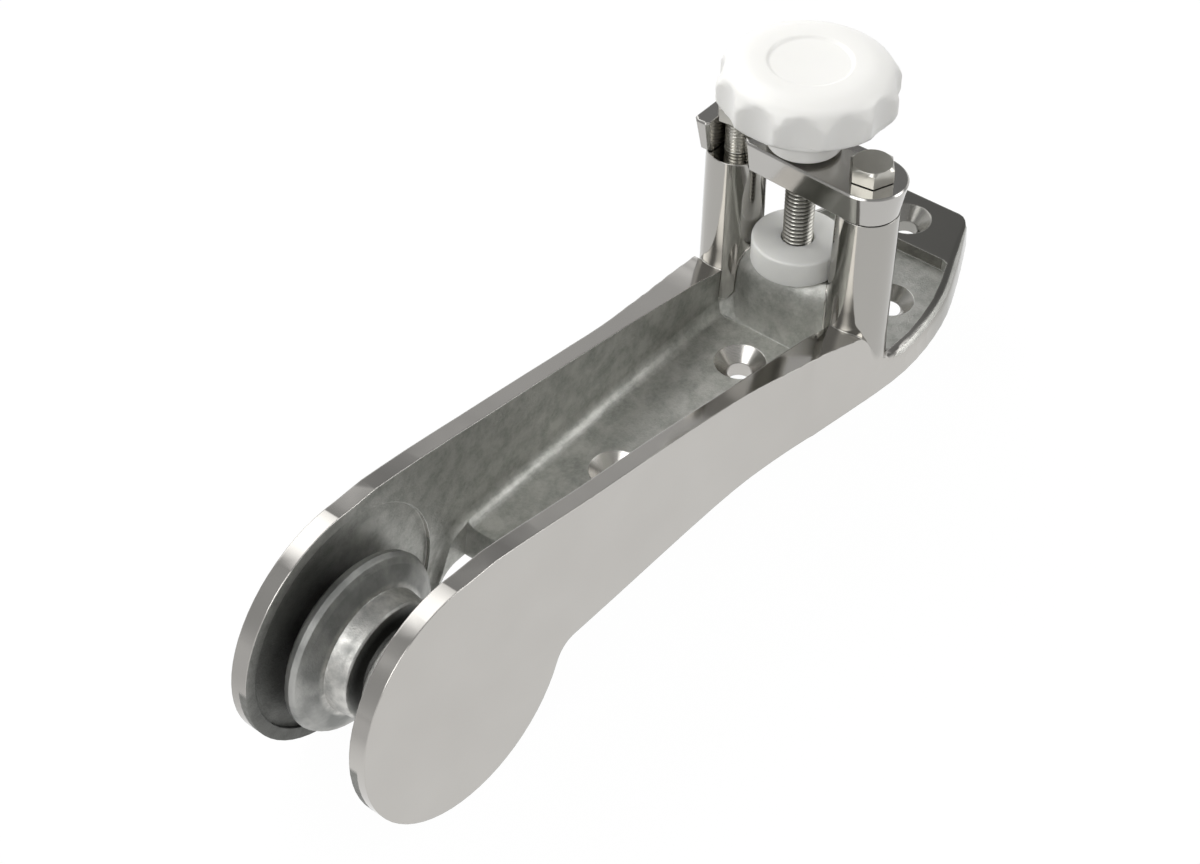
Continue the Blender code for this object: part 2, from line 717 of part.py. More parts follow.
def pressure_pad(made):
    low, top = ANVIL_TOP_Z + GAP, pad_top()
    groove = top - PAD_SOCKET_DEPTH + GAP + 1.5 * MM
    socket = top - PAD_SOCKET_DEPTH
    edge = 0.8 * MM
    profile = [
        (0.0, low),
        (PAD_R - edge, low),
        (PAD_R, low + edge),
        (PAD_R, top - edge),
        (PAD_R - edge * 0.3, top - edge * 0.3),
        (PAD_R - edge, top),
        (SPINDLE_R + GAP, top),
        (SPINDLE_R + GAP, groove + RING_HEIGHT + 2 * GAP),
        (RING_OUTER_R + GAP, groove + RING_HEIGHT + 2 * GAP),
        (RING_OUTER_R + GAP, groove),
        (SPINDLE_R + GAP, groove),
        (SPINDLE_R + GAP, socket),
        (0.0, socket),
    ]
    points, faces = turned(profile, (0.0, 0.0, 0.0), segments=32)
    return mesh_object("pressure_pad", points, faces, made, at=(0.0, 0.0, low))


def knob_profile():
    """Half section of the knob, from the socket for the insert round the outside."""
    base = BRIDGE_TOP_Z + KNOB_LIFT
    top = base + KNOB_HEIGHT
    low, high = base + KNOB_RIM_LOW, base + KNOB_RIM_HIGH
    dish = 13.4 * MM
    socket = base + INSERT_LENGTH + 2 * GAP
    return [
        (0.0, socket),
        (INSERT_R + GAP, socket),
        (INSERT_R + GAP, base),
        (KNOB_HUB_R - 0.8 * MM, base),
        (KNOB_HUB_R, base + 0.8 * MM),
        (KNOB_HUB_R + 0.5 * MM, base + 5 * MM),
        (KNOB_HUB_R + 3 * MM, base + 9.5 * MM),
        (KNOB_HUB_R + 8 * MM, base + 12.8 * MM),
        (KNOB_R - 2.2 * MM, low - 1.2 * MM),
        (KNOB_R - 0.4 * MM, low),
        (KNOB_R, low + 1.4 * MM),
        (KNOB_R, high - 1.2 * MM),
        (KNOB_R - 0.5 * MM, high + 1 * MM),
        (KNOB_R - 1.6 * MM, high + 3.4 * MM),
        (KNOB_R - 3.4 * MM, high + 5.6 * MM),
        (KNOB_R - 6.4 * MM, top),
        (dish + 0.8 * MM, top + 0.2 * MM),
        (dish - 0.6 * MM, top - 0.5 * MM),
        (0.0, top - 0.9 * MM),
    ]


def flute_section():
    """Plan of one flute's cutter at +X: the arc that meets the knob, closed outside it."""
    section = []
    for k in range(7):
        angle = math.radians(180 - 27 + 9 * k)
        section.append((FLUTE_CUTTER_R * math.cos(angle), FLUTE_CUTTER_R * math.sin(angle)))
    return section + [(0.0, -FLUTE_CUTTER_R * 0.3), (0.0, FLUTE_CUTTER_R * 0.3)]


def knob(made):
    """The knob with shallow flutes round its rim."""
    base = BRIDGE_TOP_Z + KNOB_LIFT
    points, faces = turned(knob_profile(), (0.0, 0.0, 0.0), segments=60)
    grip = mesh_object("knob", points, faces, made, at=(0.0, 0.0, base))
    away = Vector((KNOB_R - FLUTE_DEPTH + FLUTE_CUTTER_R, 0.0))
    parts = []
    for k in range(FLUTES):
        spin = Matrix.Rotation(2 * math.pi * k / FLUTES, 2)
        plan = [spin @ (away + Vector(p)) for p in flute_section()]
        rings = [[(p[0], p[1], z) for p in plan] for z in (base + 5 * MM, base + KNOB_HEIGHT + 5 * MM)]
        parts.append(join_rings(rings))
    boolean(grip, "DIFFERENCE", merged("knob_flute_cutters", parts))
    return settle(grip)


def knob_insert(made):
    base = BRIDGE_TOP_Z + KNOB_LIFT
    profile = [
        (SPINDLE_R + GAP, base),
        (INSERT_R - 0.4 * MM, base),
        (INSERT_R, base + 0.4 * MM),
        (INSERT_R, base + INSERT_LENGTH + GAP),
        (SPINDLE_R + GAP, base + INSERT_LENGTH + GAP),
    ]
    points, faces = turned(profile, (0.0, 0.0, 0.0), segments=24)
    return mesh_object("knob_insert", points, faces, made, at=(0.0, 0.0, base))


def main():
    clear_scene()
    polished = material("polished_casting", (0.72, 0.71, 0.69), 0.14, 1.0)
    rough_cast = material("cast_roller", (0.42, 0.42, 0.40), 0.5, 1.0)
    bolt_steel = material("bolt_steel", (0.55, 0.54, 0.50), 0.35, 1.0)
    bridge_metal = material("bridge_metal", (0.70, 0.69, 0.67), 0.16, 1.0)
    pin_steel = material("pin_steel", (0.6, 0.6, 0.6), 0.25, 1.0)
    knob_plastic = material("knob_plastic", (0.88, 0.87, 0.85), 0.35, 0.0)
    pad_plastic = material("pad_plastic", (0.82, 0.82, 0.80), 0.45, 0.0)
    bush_plastic = material("bush_plastic", (0.75, 0.74, 0.70), 0.5, 0.0)
    insert_brass = material("insert_brass", (0.62, 0.50, 0.28), 0.35, 1.0)
    spring_steel = material("spring_steel", (0.4, 0.4, 0.42), 0.4, 1.0)
    frame_casting(polished)
    roller_sheave(rough_cast)
    roller_bush(bush_plastic)
    thrust_washer("thrust_washer_port", 1, bush_plastic)
    thrust_washer("thrust_washer_starboard", -1, bush_plastic)
    roller_axle(pin_steel)
    clamp_bridge(bridge_metal)
    hex_bolt("pivot_bolt", POST_Y, math.radians(8), bolt_steel)
    hex_bolt("latch_bolt", -POST_Y, math.radians(8), bolt_steel)
    clamp_screw(bolt_steel)
    knob(knob_plastic)
    knob_insert(insert_brass)
    pressure_pad(pad_plastic)
    pad_snap_ring(spring_steel)


main()
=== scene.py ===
"""Looks of the bow roller: finishes, threads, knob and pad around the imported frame.

Metres, in the CAD's frame: +X to the bow, +Y to port, +Z up, z = 0 on the base's flat underside.
"""

import math

import bmesh
import bpy
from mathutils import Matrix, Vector


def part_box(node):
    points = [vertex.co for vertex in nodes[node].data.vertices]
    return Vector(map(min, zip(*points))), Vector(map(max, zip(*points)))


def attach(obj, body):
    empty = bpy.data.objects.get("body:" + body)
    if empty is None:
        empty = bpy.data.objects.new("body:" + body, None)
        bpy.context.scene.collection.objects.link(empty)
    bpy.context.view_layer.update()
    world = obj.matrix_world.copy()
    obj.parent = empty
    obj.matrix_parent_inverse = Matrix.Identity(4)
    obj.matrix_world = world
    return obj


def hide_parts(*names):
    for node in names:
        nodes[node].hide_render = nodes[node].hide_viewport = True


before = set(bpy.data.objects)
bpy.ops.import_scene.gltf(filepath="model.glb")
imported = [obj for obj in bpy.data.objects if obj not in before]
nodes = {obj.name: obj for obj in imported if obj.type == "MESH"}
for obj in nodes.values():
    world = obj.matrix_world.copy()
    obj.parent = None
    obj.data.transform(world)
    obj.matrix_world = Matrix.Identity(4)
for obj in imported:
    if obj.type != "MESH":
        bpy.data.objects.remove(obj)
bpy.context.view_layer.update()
MM = 0.001

# Camera at the photograph's place, fitted for an image of 1200 x 864
EYE = Vector((0.5028, 0.3244, 0.5182))
LOOK = Vector((-0.5654, -0.4574, -0.6864))
LENS_MM = 70.2
SENSOR_MM = 36.0

# Sizes repeated from the CAD, in millimetres
POST_Y = 25.4
POST_TOP_Z = 68.0
ANVIL_TOP_Z = 34.3
PAD_R = 15.0
PAD_HEIGHT = 9.5
SPINDLE_R = 5.0
SPINDLE_PITCH = 1.5
BOLT_R = 4.0
BOLT_PITCH = 1.25
BRIDGE_TOP_Z = 80.3
KNOB_BASE_Z = 81.7
KNOB_R = 28.8
KNOB_HEIGHT = 30.4
SCREW_HOLES = [(29.0, 0.0), (94.0, 0.0), (-69.5, 0.0), (-33.5, 17.0), (-33.5, -17.0)]
SINK_R = 8.6
WHEEL_X = 194.0
WHEEL_Z = 6.1
GAP = 0.3

# How deep the spindle sits in pad and knob, and the latch bolt's thread laid over its plain shank
SPINDLE_IN_PAD = 6.5
SPINDLE_IN_KNOB = 15.0
LATCH_THREAD_R = BOLT_R + 0.25
LATCH_THREAD_LOW_Z = 62.0

# Where the casting's finishes change: no share of the finish at the first value, all of it at the second
POST_ZONE_R = (10.9, 10.3)
POST_ZONE_Z = (9.0, 17.0)
CHANNEL_HALF_WIDTH = (22.9, 22.5)
CHANNEL_START_X = (0.0, 1.0)
CHANNEL_FLOOR_Z = (16.0, 14.0)
POCKET_FLOOR_Z = (8.5, 8.0)
BLOCK_HALF_LENGTH = (14.2, 13.6)
BLOCK_HALF_WIDTH = (20.0, 18.5)
# Painted shade on the polish astern of the posts starts and is full at these limits
ASTERN_X = (-16.0, -45.0)
# Painted shade round the wheel, on the cheeks' inner faces, starts and is full at these limits
WHEEL_SHADE_R = (50.0, 36.0)
WHEEL_SHADE_X = (172.0, 206.0)

# The same for the wheel's rim, the worn band on its side and the painted shade of its deep centre
RIM_INNER_R = (26.6, 27.2)
RIM_OUTER_R = (29.4, 28.6)
BAND_INNER_R = (17.5, 19.2)
BAND_OUTER_R = (22.4, 21.0)
WHEEL_MIDDLE_SHADE_R = (18.6, 15.0)

# A post's axis moves forward and its radius grows by these shares on the way down
POST_FORWARD = 1.0 / 48.0
POST_SPREAD = 0.3

# Colours of the casting and the wheel, linear
ROUGH_TONES = ((0.34, 0.345, 0.32), (0.54, 0.54, 0.51))
SPECKLE_TONE = (0.62, 0.62, 0.59)
# Painted shade for the cheeks' inner faces beside the wheel
SHADE_TONE = (0.04, 0.042, 0.038)
POLISH_TONES = ((0.47, 0.455, 0.43), (0.52, 0.505, 0.48))
# Painted shade on the polish of the posts and of the base astern
SHADED_POLISH_TONE = (0.31, 0.305, 0.285)
WHEEL_TONES = ((0.26, 0.265, 0.255), (0.42, 0.42, 0.405))
WORN_TONE = (0.66, 0.65, 0.62)
# Painted shade for the wheel's deep centre
WHEEL_MIDDLE_SHADE_TONE = (0.10, 0.10, 0.095)

# Round pieces: points round the axis, and a radius that closes a profile near it, in millimetres
ROUND_COLUMNS = 240
AXIS_R = 0.01

# Edges of the CAD nodes stay sharp above this angle, in degrees
SHARP_ANGLE = 32.0

# What polished metal sees: strength, azimuth, elevation, inner and outer angle of each glow, in degrees
GLOWS = [
    (5.0, -99.0, 47.0, 9.0, 27.0),
    (8.0, -8.0, 46.0, 9.0, 24.0),
    (10.0, 138.0, 37.0, 6.0, 21.0),
    (1.5, -150.0, 24.0, 4.0, 11.0),
]
DIM_SIDE = (-52.0, 18.0, 14.0, 42.0)
DIM_TONE = 0.45

# Greys of the sky and of the floor's paint, and the strength and share of the floor's glow
HORIZON_TONE = 0.7
ZENITH_TONE = 0.40
ASTERN_TONE = 0.22
FLOOR_TONES = (0.30, 0.32)
FLOOR_GLOW = 1.065
FLOOR_GLOW_SHARE = 0.92

# The floor's half size in metres, and its gap below the casting in millimetres
FLOOR_HALF_SIZE = 6.0
FLOOR_DROP = 0.2


def grey(level):
    """A neutral colour of this level."""
    return (level, level, level)


class Graph:
    """Short calls for building one material's nodes."""

    def __init__(self, tree):
        self.tree = tree

    def node(self, kind, **settings):
        made = self.tree.nodes.new(kind)
        for key, value in settings.items():
            setattr(made, key, value)
        return made

    def put(self, socket, value):
        """A number, a colour or another node's output goes into a socket."""
        if isinstance(value, bpy.types.NodeSocket):
            self.tree.links.new(value, socket)
        elif isinstance(value, (int, float)) or not hasattr(socket.default_value, "__len__"):
            socket.default_value = value
        else:
            value = tuple(value)
            socket.default_value = value + (1.0,) if len(socket.default_value) > len(value) else value

    def math(self, operation, *values):
        made = self.node("ShaderNodeMath", operation=operation)
        for socket, value in zip(made.inputs, values):
            self.put(socket, value)
        return made.outputs[0]

    def between(self, value, low, high):
        """0 below low, 1 above high and smooth between them; 1 below where low is the higher."""
        made = self.node("ShaderNodeMapRange", interpolation_type="SMOOTHSTEP")
        self.put(made.inputs["Value"], value)
        if low < high:
            ends = (low, high, 0.0, 1.0)
        else:
            ends = (high, low, 1.0, 0.0)
        for name, end in zip(("From Min", "From Max", "To Min", "To Max"), ends):
            made.inputs[name].default_value = end
        return made.outputs["Result"]

    def between_mm(self, value, limits):
        """The same for a pair of limits in millimetres."""
        return self.between(value, limits[0] * MM, limits[1] * MM)

    def parts(self, vector):
        """The three coordinates of a vector."""
        made = self.node("ShaderNodeSeparateXYZ")
        self.put(made.inputs[0], vector)
        return made.outputs

    def rays(self):
        """1 for rays that the camera sees directly or through something, and 1 for mirrored rays."""
        path = self.node("ShaderNodeLightPath")
        seen = self.math("MAXIMUM", path.outputs["Is Camera Ray"], path.outputs["Is Transmission Ray"])
        return seen, path.outputs["Is Glossy Ray"]

    def mix(self, factor, one, two):
        made = self.node("ShaderNodeMix", data_type="RGBA")
        self.put(made.inputs[0], factor)
        self.put(made.inputs[6], one)
        self.put(made.inputs[7], two)
        return made.outputs[2]

    def blend(self, factor, one, two):
        made = self.node("ShaderNodeMix", data_type="FLOAT")
        self.put(made.inputs[0], factor)
        self.put(made.inputs[2], one)
        self.put(made.inputs[3], two)
        return made.outputs[0]

    def noise(self, place, size, detail=3.0, roughness=0.5, stretch=(1.0, 1.0, 1.0)):
        """Noise with blotches of about this size in millimetres."""
        mapping = self.node("ShaderNodeMapping")
        self.put(mapping.inputs["Vector"], place)
        mapping.inputs["Scale"].default_value = tuple(s / (size * MM) for s in stretch)
        made = self.node("ShaderNodeTexNoise")
        self.put(made.inputs["Vector"], mapping.outputs[0])
        made.inputs["Scale"].default_value = 1.0
        made.inputs["Detail"].default_value = detail
        made.inputs["Roughness"].default_value = roughness
        return made.outputs["Fac"]

    def bump(self, height, depth, strength=1.0, normal=None):
        """Bump of this depth in millimetres."""
        made = self.node("ShaderNodeBump")
        made.inputs["Strength"].default_value = strength
        made.inputs["Distance"].default_value = depth * MM
        self.put(made.inputs["Height"], height)
        if normal:
            self.put(made.inputs["Normal"], normal)
        return made.outputs["Normal"]


def start_material(name, metallic=0.0):
    """A material, its graph, its shader and the surface's place in the object's own coordinates."""
    made = bpy.data.materials.new(name)
    made.use_nodes = True
    graph = Graph(made.node_tree)
    shader = made.node_tree.nodes["Principled BSDF"]
    shader.inputs["Metallic"].default_value = metallic
    place = graph.node("ShaderNodeTexCoord").outputs["Object"]
    return made, graph, shader, place


def soft_edges(graph, radius):
    """Edges rounded to this radius in millimetres."""
    made = graph.node("ShaderNodeBevel", samples=6)
    made.inputs["Radius"].default_value = radius * MM
    return made.outputs["Normal"]


def polished(name, colour, roughness, edge=0.5):
    """Polished metal with the slight waves and fine scratches of handwork."""
    made, graph, shader, place = start_material(name, 1.0)
    fine = graph.noise(place, 0.5, detail=4.0, stretch=(1.0, 0.25, 1.0))
    broad = graph.noise(place, 14.0, detail=2.0)
    graph.put(shader.inputs["Base Color"], graph.mix(broad, [c * 0.94 for c in colour], colour))
    graph.put(shader.inputs["Roughness"], graph.blend(fine, roughness * 0.8, roughness * 1.4))
    waves = graph.bump(broad, 0.12, 0.5, soft_edges(graph, edge))
    graph.put(shader.inputs["Normal"], waves)
    return made


def distance_across(graph, x, y, centre_x, centre_y):
    """Distance from an axis across two coordinates, in metres."""
    across = graph.math("SUBTRACT", x, centre_x)
    along = graph.math("SUBTRACT", y, centre_y)
    square = graph.math("ADD", graph.math("POWER", across, 2.0), graph.math("POWER", along, 2.0))
    return graph.math("SQRT", square)


def on_the_posts(graph, x, aside, z):
    """1 on the polished posts, which widen and move forward a little towards the foot."""
    forward = graph.math("MULTIPLY", graph.math("SUBTRACT", POST_TOP_Z * MM, z), POST_FORWARD)
    away = distance_across(graph, x, aside, forward, POST_Y * MM)
    away = graph.math("SUBTRACT", away, graph.math("MULTIPLY", forward, POST_SPREAD))
    return graph.math("MULTIPLY", graph.between_mm(away, POST_ZONE_R), graph.between_mm(z, POST_ZONE_Z))


def casting_zone(graph, place):
    """Rough zones (channel, pocket, block), countersinks, and the distance from the nearest hole's axis."""
    x, y, z = graph.parts(place)
    aside = graph.math("ABSOLUTE", y)
    facing = graph.parts(graph.node("ShaderNodeNewGeometry").outputs["True Normal"])
    inward = graph.math("MULTIPLY", graph.math("SIGN", y), graph.math("MULTIPLY", facing[1], -1.0))
    inner_face = graph.between(inward, 0.2, 0.35)
    between_walls = graph.between_mm(aside, CHANNEL_HALF_WIDTH)
    between_walls = graph.math("MULTIPLY", between_walls, graph.between_mm(x, CHANNEL_START_X))
    channel_floor = graph.math("MULTIPLY", between_walls, graph.between_mm(z, CHANNEL_FLOOR_Z))
    upward = graph.between(facing[2], 0.5, 0.9)
    pocket_floor = graph.math("MULTIPLY", graph.between_mm(z, POCKET_FLOOR_Z), upward)
    lengthwise = graph.between_mm(graph.math("ABSOLUTE", x), BLOCK_HALF_LENGTH)
    block = graph.math("MULTIPLY", graph.between_mm(aside, BLOCK_HALF_WIDTH), lengthwise)
    walls = graph.math("MAXIMUM", inner_face, channel_floor)
    rough = graph.math("MAXIMUM", walls, graph.math("MAXIMUM", pocket_floor, block))
    rough = graph.math("MULTIPLY", rough, graph.math("SUBTRACT", 1.0, on_the_posts(graph, x, aside, z)))
    away = None
    for hole_x, hole_y in SCREW_HOLES:
        reach = distance_across(graph, x, y, hole_x * MM, hole_y * MM)
        away = graph.math("MINIMUM", away, reach) if away else reach
    sunk = graph.between_mm(away, (SINK_R + 0.1, SINK_R - 0.05))
    return graph.math("MULTIPLY", rough, graph.math("SUBTRACT", 1.0, sunk)), sunk, away


def painted_shade_by_wheel(graph, place):
    """Mask of painted shade: 1 on the bow side of the cheeks' inner faces, close round the wheel, where
    little light comes.
    """
    x, _, z = graph.parts(place)
    away = distance_across(graph, x, z, WHEEL_X * MM, WHEEL_Z * MM)
    near = graph.between_mm(away, WHEEL_SHADE_R)
    return graph.math("MULTIPLY", near, graph.between_mm(x, WHEEL_SHADE_X))


def painted_shade_on_polish(graph, place):
    """Share of painted shade on the polish: some on the posts and more on the base astern of them."""
    x, y, z = graph.parts(place)
    posts = graph.math("MULTIPLY", on_the_posts(graph, x, graph.math("ABSOLUTE", y), z), 0.6)
    astern = graph.between_mm(x, ASTERN_X)
    return graph.math("MAXIMUM", posts, astern)


def casting_material():
    """Polished outside, dull and grainy inside, with turned countersinks, painted shade on the posts and
    astern, and painted shade beside the wheel.
    """
    made, graph, shader, place = start_material("polished_casting_finish", 1.0)
    rough, sunk, away = casting_zone(graph, place)
    grain = graph.noise(place, 0.7, detail=5.0, roughness=0.6)
    blotch = graph.noise(place, 7.0, detail=8.0, roughness=0.62)
    polish = graph.noise(place, 26.0, detail=2.0)
    rings = graph.math("SINE", graph.math("MULTIPLY", away, 2 * math.pi / (0.35 * MM)))
    dull = graph.mix(graph.between(blotch, 0.3, 0.7), *ROUGH_TONES)
    bright = graph.mix(polish, *POLISH_TONES)
    # Painted shade darkens the polish on the posts and astern
    bright = graph.mix(painted_shade_on_polish(graph, place), bright, SHADED_POLISH_TONE)
    speckle = graph.between(graph.noise(place, 1.6, detail=6.0, roughness=0.7), 0.38, 0.66)
    dull = graph.mix(graph.math("MULTIPLY", speckle, 0.35), dull, SPECKLE_TONE)
    # Painted shade on the rough inner faces beside the wheel
    shadow = graph.math("MULTIPLY", painted_shade_by_wheel(graph, place), 0.8)
    dull = graph.mix(shadow, dull, SHADE_TONE)
    graph.put(shader.inputs["Base Color"], graph.mix(rough, bright, dull))
    graph.put(shader.inputs["Metallic"], graph.blend(rough, 1.0, 0.9))
    bright_roughness = graph.blend(sunk, 0.10, 0.24)
    dull_roughness = graph.blend(blotch, 0.55, 0.40)
    graph.put(shader.inputs["Roughness"], graph.blend(rough, bright_roughness, dull_roughness))
    waves = graph.bump(polish, 0.22, 0.6, soft_edges(graph, 0.6))
    grooves = graph.bump(graph.math("MULTIPLY", rings, sunk), 0.006, 1.0, waves)
    cast = graph.bump(graph.math("MULTIPLY", grain, rough), 0.16, 1.0, grooves)
    graph.put(shader.inputs["Normal"], cast)
    return made


def wheel_material():
    """Dull cast metal with a fine grain, lighter worn edges and painted shade in its deep centre."""
    made, graph, shader, place = start_material("cast_roller_finish", 1.0)
    grain = graph.noise(place, 0.8, detail=5.0, roughness=0.6)
    blotch = graph.noise(place, 9.0, detail=4.0)
    colour = graph.mix(graph.between(blotch, 0.3, 0.7), *WHEEL_TONES)
    x, _, z = graph.parts(place)
    away = distance_across(graph, x, z, WHEEL_X * MM, WHEEL_Z * MM)
    rim = graph.math("MULTIPLY", graph.between_mm(away, RIM_INNER_R), graph.between_mm(away, RIM_OUTER_R))
    band = graph.math("MULTIPLY", graph.between_mm(away, BAND_OUTER_R), graph.between_mm(away, BAND_INNER_R))
    scuffs = graph.between(graph.noise(place, 5.0, detail=7.0, roughness=0.6), 0.25, 0.75)
    worn = graph.math("MULTIPLY", scuffs, graph.math("MAXIMUM", band, graph.math("MULTIPLY", rim, 0.25)))
    # Painted shade darkens the wheel's deep centre
    middle_shade = graph.between_mm(away, WHEEL_MIDDLE_SHADE_R)
    colour = graph.mix(worn, colour, WORN_TONE)
    graph.put(shader.inputs["Base Color"], graph.mix(middle_shade, colour, WHEEL_MIDDLE_SHADE_TONE))
    graph.put(shader.inputs["Roughness"], graph.blend(worn, graph.blend(blotch, 0.6, 0.48), 0.36))
    graph.put(shader.inputs["Normal"], graph.bump(grain, 0.12, 1.0, soft_edges(graph, 0.5)))
    return made


def turned_steel(name, colour, roughness):
    """Plain machined steel: fine noise in tone and gloss, softened edges."""
    made, graph, shader, place = start_material(name, 1.0)
    fine = graph.noise(place, 0.4, detail=4.0)
    blotch = graph.noise(place, 4.0, detail=3.0)
    graph.put(shader.inputs["Base Color"], graph.mix(blotch, [c * 0.82 for c in colour], colour))
    graph.put(shader.inputs["Roughness"], graph.blend(fine, roughness * 0.8, roughness * 1.3))
    graph.put(shader.inputs["Normal"], graph.bump(fine, 0.01, 0.6, soft_edges(graph, 0.25)))
    return made


def thread_steel(name, colour, crest, depth, centre_y):
    """Turned steel with painted shade down in its thread's grooves; crest and depth in millimetres."""
    made, graph, shader, place = start_material(name, 1.0)
    x, y, _ = graph.parts(place)
    away = distance_across(graph, x, y, 0.0, centre_y * MM)
    height = graph.between_mm(away, (crest - depth, crest))
    fine = graph.noise(place, 0.4, detail=4.0)
    # Painted shade: the colour darkens towards the bottom of the grooves
    graph.put(shader.inputs["Base Color"], graph.mix(height, [c * 0.25 for c in colour], colour))
    graph.put(shader.inputs["Roughness"], graph.blend(fine, 0.3, 0.42))
    graph.put(shader.inputs["Normal"], graph.bump(fine, 0.01, 0.6))
    return made


def plastic(name, colour, roughness, subsurface=0.0, depth=0.0):
    """Moulded plastic with a faint unevenness in tone, gloss and surface."""
    made, graph, shader, place = start_material(name, 0.0)
    fine = graph.noise(place, 0.35, detail=3.0)
    broad = graph.noise(place, 12.0, detail=2.0)
    graph.put(shader.inputs["Base Color"], graph.mix(broad, [c * 0.965 for c in colour], colour))
    graph.put(shader.inputs["Roughness"], graph.blend(fine, roughness * 0.9, roughness * 1.15))
    shader.inputs["Subsurface Weight"].default_value = subsurface
    shader.inputs["Subsurface Radius"].default_value = (1.0, 1.0, 0.9)
    shader.inputs["Subsurface Scale"].default_value = depth * MM
    graph.put(shader.inputs["Normal"], graph.bump(fine, 0.012, 0.6, soft_edges(graph, 0.3)))
    return made


def mesh_piece(name, points, faces, made, body, smooth_angle=40.0):
    """A closed mesh that rides on a body; the points are in millimetres."""
    mesh = bpy.data.meshes.new(name)
    mesh.from_pydata([tuple(c * MM for c in p) for p in points], [], faces)
    work = bmesh.new()
    work.from_mesh(mesh)
    bmesh.ops.remove_doubles(work, verts=work.verts, dist=1e-7)
    bmesh.ops.recalc_face_normals(work, faces=work.faces)
    work.to_mesh(mesh)
    work.free()
    mesh.shade_smooth()
    mesh.set_sharp_from_angle(angle=math.radians(smooth_angle))
    mesh.materials.append(made)
    piece = bpy.data.objects.new(name, mesh)
    bpy.context.scene.collection.objects.link(piece)
    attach(piece, body)
    return piece


def grid_faces(rows, columns):
    """Faces between rows of points that close round, with the first and last row capped."""
    faces = []
    for row in range(rows - 1):
        for k in range(columns):
            after = (k + 1) % columns
            low, high = row * columns, (row + 1) * columns
            faces.append((low + k, low + after, high + after, high + k))
    faces.append(tuple(reversed(range(columns))))
    faces.append(tuple((rows - 1) * columns + k for k in range(columns)))
    return faces


def turned_shape(profile, radius_at):
    """A turned solid from an open profile of (radius, z), with each point's radius corrected."""
    points = []
    for radius, z in profile:
        for k in range(ROUND_COLUMNS):
            angle = 2 * math.pi * k / ROUND_COLUMNS
            reach = radius_at(radius, z, angle)
            points.append((reach * math.cos(angle), reach * math.sin(angle), z))
    return points, grid_faces(len(profile), ROUND_COLUMNS)


def thread_shape(major, pitch, low, high, centre=(0.0, 0.0)):
    """A threaded rod as a height field round its axis, with tapered ends."""
    columns, per_pitch = 48, 12
    depth = 0.61 * pitch
    crest_share, flank = 1.125, 2.75
    end_length, end_taper = 1.0, 0.9
    rows = int((high - low) / pitch * per_pitch)
    points = []
    for row in range(rows + 1):
        z = low + (high - low) * row / rows
        fade = min(1.0, (z - low) / end_length, (high - z) / end_length)
        for k in range(columns):
            turn = (z / pitch - k / columns) % 1.0
            crest = min(1.0, max(0.0, crest_share - flank * abs(turn - 0.5)))
            radius = major - depth * (1.0 - crest)
            radius = min(radius, major - end_taper * (1.0 - fade))
            angle = 2 * math.pi * k / columns
            points.append((centre[0] + radius * math.cos(angle), centre[1] + radius * math.sin(angle), z))
    return points, grid_faces(rows + 1, columns)


def rounded(corner, before, after, radius, count=4):
    """Points of a fillet at a profile's corner."""
    corner, before, after = Vector(corner), Vector(before), Vector(after)
    first, second = (before - corner).normalized(), (after - corner).normalized()
    start, end = corner + first * radius, corner + second * radius
    found = []
    for k in range(count + 1):
        t = k / count
        found.append(tuple(start * (1 - t) ** 2 + corner * 2 * t * (1 - t) + end * t**2))
    return found


def smooth_profile(points, radii):
    """A profile with each inner corner rounded by its own radius."""
    found = [tuple(points[0])]
    for k in range(1, len(points) - 1):
        found += rounded(points[k], points[k - 1], points[k + 1], radii[k - 1])
    return found + [tuple(points[-1])]


def knob_piece(made):
    """The knob: a turned body whose rim is scalloped by twelve flutes with soft edges."""
    flutes, cutter, depth, softness = 12, 12.5, 2.7, 0.16
    away = KNOB_R - depth + cutter
    hub_r, hub_height = 15.0, 5.0
    base, top = KNOB_BASE_Z, KNOB_BASE_Z + KNOB_HEIGHT
    outline = [
        (8.3, base),
        (12.0, base),
        (12.5, base + 6.0),
        (15.5, base + 10.5),
        (KNOB_R - 2.0, base + 15.2),
        (KNOB_R, base + 17.6),
        (KNOB_R, base + 24.0),
        (KNOB_R - 3.2, base + 28.3),
        (KNOB_R - 9.0, top + 0.1),
        (13.6, top + 0.1),
        (12.6, top - 0.7),
        (AXIS_R, top - 1.0),
    ]
    profile = smooth_profile(outline, (0.8, 3.0, 3.0, 2.0, 1.2, 1.4, 1.8, 2.4, 0.5, 0.5))

    def scalloped(radius, z, angle):
        off = (angle + math.pi / flutes) % (2 * math.pi / flutes) - math.pi / flutes
        wall = away * math.cos(off) - math.sqrt(cutter**2 - (away * math.sin(off)) ** 2)
        if z < base + hub_height or radius < hub_r:
            return radius
        mixed = max(softness - abs(radius - wall), 0.0) / softness
        return min(radius, wall) - mixed**2 * softness * 0.25

    points, faces = turned_shape(profile, scalloped)
    piece = mesh_piece("knob_grip", points, faces, made, "screw", 60.0)
    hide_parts("knob")


def spindle_piece(made):
    """The spindle with its thread, from inside the pad to inside the knob."""
    low = ANVIL_TOP_Z + GAP + PAD_HEIGHT - SPINDLE_IN_PAD + GAP
    high = KNOB_BASE_Z + GAP + SPINDLE_IN_KNOB
    points, faces = thread_shape(SPINDLE_R, SPINDLE_PITCH, low, high)
    piece = mesh_piece("spindle_thread", points, faces, made, "screw", 30.0)
    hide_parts("clamp_screw")


